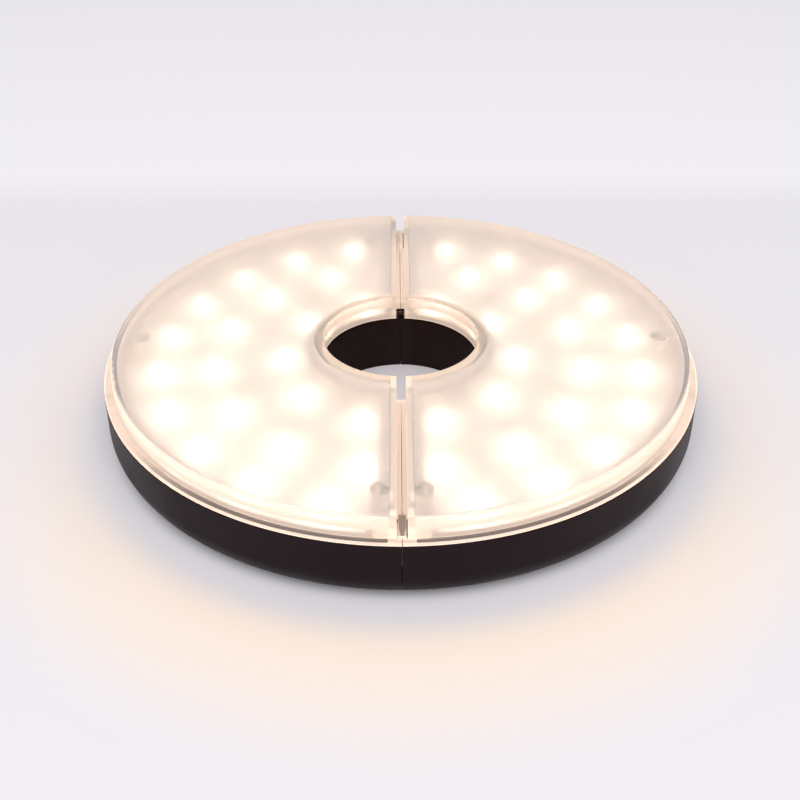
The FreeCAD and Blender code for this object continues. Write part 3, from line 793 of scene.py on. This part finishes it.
def add_button(shape, x, z, y_base, y_tip, radius):
    """A low round button that stands out of a plate along Y, added to a mesh."""
    steps = 20
    rings = []
    for share, radius_share in ((0.0, 1.0), (0.55, 0.92), (1.0, 0.62)):
        y = y_base + share * (y_tip - y_base)
        ring = []
        for k in range(steps):
            angle = 2 * math.pi * k / steps
            ring.append(shape.verts.new((x + radius_share * radius * math.cos(angle), y,
                                         z + radius_share * radius * math.sin(angle))))
        rings.append(ring)
    shape.faces.new(rings[0])
    shape.faces.new(rings[-1])
    for lower, upper in zip(rings, rings[1:]):
        for k in range(steps):
            following = (k + 1) % steps
            shape.faces.new((lower[k], lower[following], upper[following], upper[k]))


# %% Put plates and springs together
plate_thickness = 0.0004
half_width = 0.00325         # of one plate
button_radius = 0.0016
button_share = 0.9           # how much of the room beside a cell its button fills

for side in both:
    end_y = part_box("cell_contacts_" + side)[1][1]
    shape = bmesh.new()
    cell_boxes = [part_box("cell_" + place + "_" + side) for place in ("inner", "outer")]
    axis_z = (cell_boxes[0][0][2] + cell_boxes[0][1][2]) / 2
    x_values = [(low[0] + high[0]) / 2 for low, high in cell_boxes]
    add_plate(shape, min(x_values) - half_width, max(x_values) + half_width, -end_y,
              -end_y + plate_thickness, axis_z - half_width, axis_z + half_width)
    for x in x_values:
        add_plate(shape, x - half_width, x + half_width, end_y - plate_thickness, end_y,
                  axis_z - half_width, axis_z + half_width)
    face_y = end_y - plate_thickness
    spring_length = face_y - cell_boxes[0][1][1]
    button_tip = face_y - button_share * spring_length
    add_button(shape, x_values[0], axis_z, face_y, button_tip, button_radius)
    add_button(shape, x_values[1], axis_z, -face_y, -button_tip, button_radius)
    bmesh.ops.recalc_face_normals(shape, faces=shape.faces)

    springs = points_object("springs_" + side,
                            [(x_values[0], wire_radius - face_y, axis_z),
                             (x_values[1], face_y - wire_radius, axis_z)])
    turns = springs.data.attributes.new("facing", "FLOAT", "POINT")
    turns.data[0].value = -math.pi / 2
    turns.data[1].value = math.pi / 2
    grow(springs, spring_tree, {**spring_sizes, "Length": spring_length - 2 * wire_radius})
    shape.from_mesh(springs.data)
    bpy.data.objects.remove(springs)
    contacts = mesh_object("coil_contacts_" + side, shape)
    contacts.data.materials.append(nickel_finish)
    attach(contacts, side + "_half")
    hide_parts("cell_contacts_" + side)
    print(contacts.name, "has", len(contacts.data.polygons), "faces")

# %% [markdown]
# ## The floor
# The photograph has a pale floor with a faint lilac cast, and a slight step in tone behind the
# light where the sheet bends up. The light also throws a warm pool on the floor. It starts
# where the rim of the housing stops shading the diffuser, and it is strongest in front. The
# pool is painted as a weak emission, because the real one comes from LEDs far brighter than a
# picture can show. Close to the rim the sheet is painted a little paler too, as painted light
# that thins the shadow round the housing, most in front. Both stay where they are when the
# light is opened.

# %% The sheet
reach = 6.0
floor_mesh = bpy.data.meshes.new("floor")
floor_mesh.from_pydata([(-reach, -reach, 0), (reach, -reach, 0), (reach, reach, 0),
                        (-reach, reach, 0)], [], [(0, 1, 2, 3)])
floor = bpy.data.objects.new("floor", floor_mesh)
bpy.context.scene.collection.objects.link(floor)
floor.location.z = -0.0001
print("floor of", 2 * reach, "m")

# %% Its colour and the pool of light
near_sheet = (0.835, 0.822, 0.855)
far_sheet = (0.92, 0.91, 0.94)
# painted light: the paler colour of the sheet close to the rim
shadow_lift_sheet = (0.91, 0.90, 0.93)
pool_sheet = (0.84, 0.81, 0.75)
pool_light = (1.0, 0.35, 0.02)
pool_strength = 0.16
side_share = 0.40            # strength of the pool beside and behind the light
shadow_lift_starts = 0.095          # these six are distances from the pole's axis
shadow_lift_gone = 0.102
pool_starts = 0.097
pool_full = 0.111
pool_fades = 0.112
pool_gone = 0.160
bend_starts = 0.155          # how far behind the light the sheet begins to bend up
bend_ends = 0.200

material, tree, shader = new_finish("floor_sheet")
x, y, _ = place_axes(tree)
radius_here = line_length(tree, x, y)
toward_front = ramp(tree, calculate(tree, "DIVIDE", y, radius_here), -0.95, -0.1, 1.0, side_share)
pool = calculate(tree, "MULTIPLY", ramp(tree, radius_here, pool_starts, pool_full),
                 ramp(tree, radius_here, pool_fades, pool_gone, 1.0, 0.0))
pool = calculate(tree, "MULTIPLY", pool, toward_front)
# painted light: paler close to the rim, thinning the shadow round the housing
shadow_lift = calculate(tree, "MULTIPLY",
                    ramp(tree, radius_here, shadow_lift_starts, shadow_lift_gone, 1.0, 0.0), toward_front)
sheet = blend_colours(tree, ramp(tree, y, bend_starts, bend_ends), near_sheet, far_sheet)
sheet = blend_colours(tree, shadow_lift, sheet, shadow_lift_sheet)
sheet = blend_colours(tree, pool, sheet, pool_sheet)
tree.links.new(sheet, shader.inputs["Base Color"])
shader.inputs["Roughness"].default_value = 0.6
shader.inputs["Specular IOR Level"].default_value = 0.1
tree.links.new(calculate(tree, "MULTIPLY", pool, pool_strength), shader.inputs["Emission Strength"])
shader.inputs["Emission Color"].default_value = (*pool_light, 1)
floor_mesh.materials.append(material)
print("pool of light at strength", pool_strength)

# %% [markdown]
# ## Light and camera
# Soft light comes from all round, and a wide lamp in front and above gives the faint modelling.
# The camera stands where the ellipses of the rim and the hole in the photograph put it.

# %% World and lamp
world = bpy.data.worlds.new("studio")
world.use_nodes = True
background = world.node_tree.nodes["Background"]
background.inputs["Color"].default_value = (0.98, 0.97, 1.0, 1)
background.inputs["Strength"].default_value = 0.74
bpy.context.scene.world = world

lamp_data = bpy.data.lights.new("front_lamp", "AREA")
lamp_data.energy = 10.0
lamp_data.size = 1.2
lamp_data.color = (1.0, 0.98, 0.98)
lamp = bpy.data.objects.new("front_lamp", lamp_data)
lamp.location = (0.0, -0.9, 1.2)
lamp.rotation_euler = (math.radians(37), 0, 0)
bpy.context.scene.collection.objects.link(lamp)
print("lamp of", lamp_data.energy, "W,", lamp_data.size, "m wide")

# %% Camera
target_drop = 0.007          # the camera looks at a point this far below the diffusers' top
outer_radius = housing_high[0]
elevation = math.radians(31.51)
turn = math.radians(0.25)
distance = 4.0 * outer_radius
focal_pixels = 1160.0
picture_width = 800
middle_pixels = (400.7, 352.6)

camera_data = bpy.data.cameras.new("camera")
camera_data.sensor_width = 36.0
camera_data.lens = camera_data.sensor_width * focal_pixels / picture_width
camera_data.shift_x = (picture_width / 2 - middle_pixels[0]) / picture_width
camera_data.shift_y = (middle_pixels[1] - picture_width / 2) / picture_width
camera_data.clip_start = 0.01
camera = bpy.data.objects.new("camera", camera_data)
bpy.context.scene.collection.objects.link(camera)
target = Vector((0, 0, top_face - target_drop))
away = Vector((-math.sin(turn) * math.cos(elevation), -math.cos(turn) * math.cos(elevation),
               math.sin(elevation)))
camera.location = target + distance * away
camera.rotation_euler = (-away).to_track_quat("-Z", "Y").to_euler()
bpy.context.scene.camera = camera
bpy.context.scene.view_settings.view_transform = "Standard"
print("camera at", [round(value, 4) for value in camera.location])
